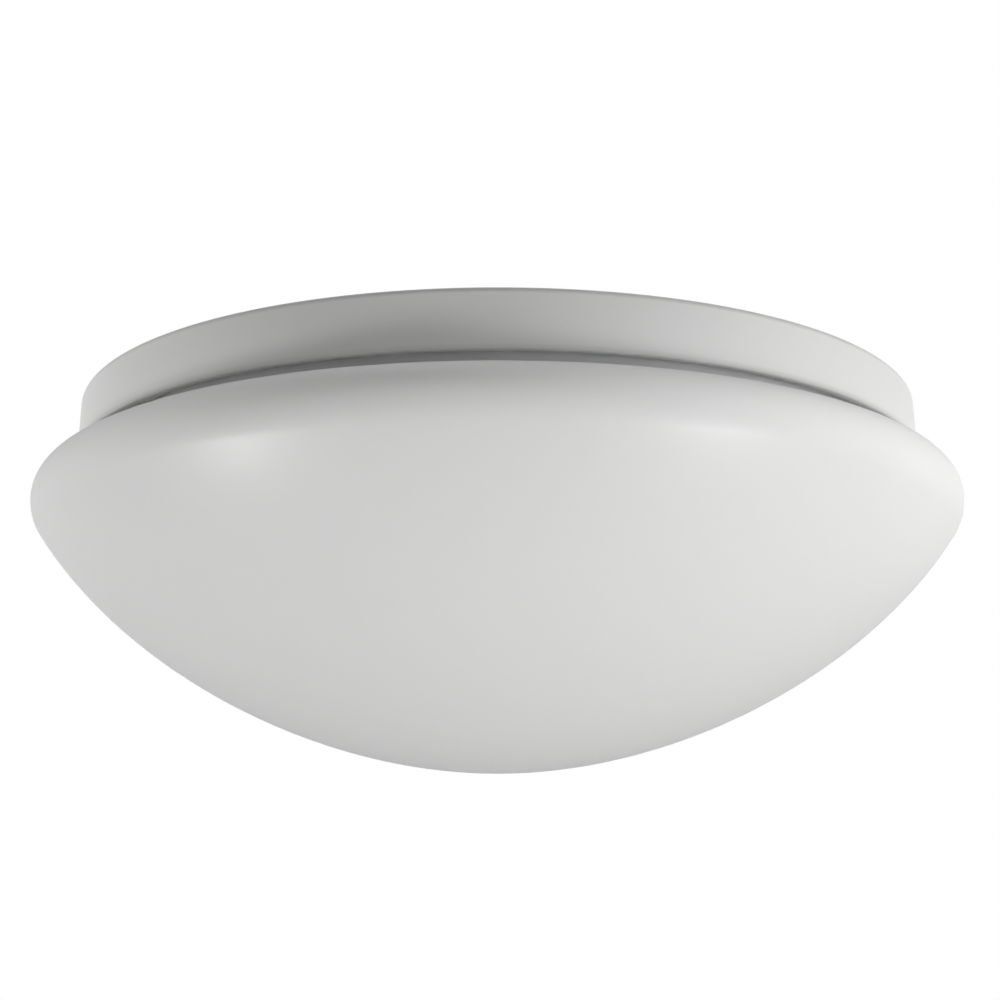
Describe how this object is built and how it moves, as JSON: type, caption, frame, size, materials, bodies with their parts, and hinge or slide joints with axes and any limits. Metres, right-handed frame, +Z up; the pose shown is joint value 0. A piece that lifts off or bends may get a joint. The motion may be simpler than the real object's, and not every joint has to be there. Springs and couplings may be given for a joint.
{
  "type": "flush mount ceiling light",
  "caption": "Round surface-mounted ceiling light: a shallow moulded base, a gear tray with a ring of lamps, and an opal bowl that screws onto ramps inside the base rim.",
  "frame": {"origin": "centre of the base's ceiling face", "axes": "+Z up, out of the ceiling face; +Y from the centre to the supply cable entry"},
  "size_m": [0.3, 0.3, 0.1153],
  "materials": {
    "base": "satin white moulded",
    "foam": "closed-cell foam",
    "rubber": "matte",
    "silicone": "translucent matte",
    "opal": "satin opal",
    "tray": "white powder coat",
    "latch": "moulded",
    "terminal": "moulded",
    "lever": "moulded",
    "screw": "zinc plated",
    "board": "white solder mask",
    "chip": "moulded",
    "phosphor": "silicone",
    "driver": "moulded",
    "circuit": "solder mask",
    "winding": "taped",
    "can": "sleeved",
    "tin": "tinned",
    "brown_lead": "PVC",
    "blue_lead": "PVC",
    "earth_lead": "PVC",
    "red_lead": "silicone",
    "black_lead": "silicone"
  },
  "bodies": {
    "fixture": {"base_pan": "base", "ceiling_gasket": "foam", "cable_grommet": "rubber", "spare_entry_plug": "rubber", "gear_tray": "tray", "tray_bush": "rubber", "terminal_block": "terminal", "cord_clamp": "base", "terminal_screws": "screw", "clamp_screws": "screw", "led_board": "board", "led_chips": "chip", "led_phosphors": "phosphor", "board_connector": "terminal", "board_screws": "screw", "driver_cover": "driver", "driver_case": "driver", "driver_board": "circuit", "driver_transformer": "winding", "driver_capacitors": "can", "driver_screws": "screw", "earth_tag": "tin", "earth_screw": "screw", "live_lead": "brown_lead", "neutral_lead": "blue_lead", "earth_lead": "earth_lead", "led_lead_positive": "red_lead", "led_lead_negative": "black_lead"},
    "diffuser_seal": {"diffuser_seal": "silicone"},
    "diffuser": {"diffuser": "opal"},
    "tray_latch_1": {"tray_latch_1": "latch"},
    "tray_latch_2": {"tray_latch_2": "latch"},
    "tray_latch_3": {"tray_latch_3": "latch"},
    "terminal_lever_1": {"terminal_lever_1": "lever"},
    "terminal_lever_2": {"terminal_lever_2": "lever"},
    "terminal_lever_3": {"terminal_lever_3": "lever"}
  },
  "joints": [
    {"name": "diffuser_turn", "type": "hinge", "parent": "fixture", "child": "diffuser_seal", "pos_m": [0, 0, 0], "axis": [0, 0, -1], "range_deg": [0, 90]},
    {"name": "diffuser_drop", "type": "slide", "parent": "diffuser_seal", "child": "diffuser", "axis": [0, 0, -1], "range_m": [0, 0.024]},
    {"name": "tray_latch_1_turn", "type": "hinge", "parent": "fixture", "child": "tray_latch_1", "pos_m": [0.108, 0, -0.0151], "axis": [0, 0, -1], "range_deg": [0, 90]},
    {"name": "tray_latch_2_turn", "type": "hinge", "parent": "fixture", "child": "tray_latch_2", "pos_m": [-0.054, 0.09353, -0.0151], "axis": [0, 0, -1], "range_deg": [0, 90]},
    {"name": "tray_latch_3_turn", "type": "hinge", "parent": "fixture", "child": "tray_latch_3", "pos_m": [-0.054, -0.09353, -0.0151], "axis": [0, 0, -1], "range_deg": [0, 90]},
    {"name": "terminal_lever_1_lift", "type": "hinge", "parent": "fixture", "child": "terminal_lever_1", "pos_m": [-0.0075, 0.044, -0.0147], "axis": [1, 0, 0], "range_deg": [0, 80]},
    {"name": "terminal_lever_2_lift", "type": "hinge", "parent": "fixture", "child": "terminal_lever_2", "pos_m": [0, 0.044, -0.0147], "axis": [1, 0, 0], "range_deg": [0, 80]},
    {"name": "terminal_lever_3_lift", "type": "hinge", "parent": "fixture", "child": "terminal_lever_3", "pos_m": [0.0075, 0.044, -0.0147], "axis": [1, 0, 0], "range_deg": [0, 80]}
  ],
  "couplings": [
    {"joint": "diffuser_drop", "follows": "diffuser_turn", "m_per_rad": 0.015279}
  ]
}
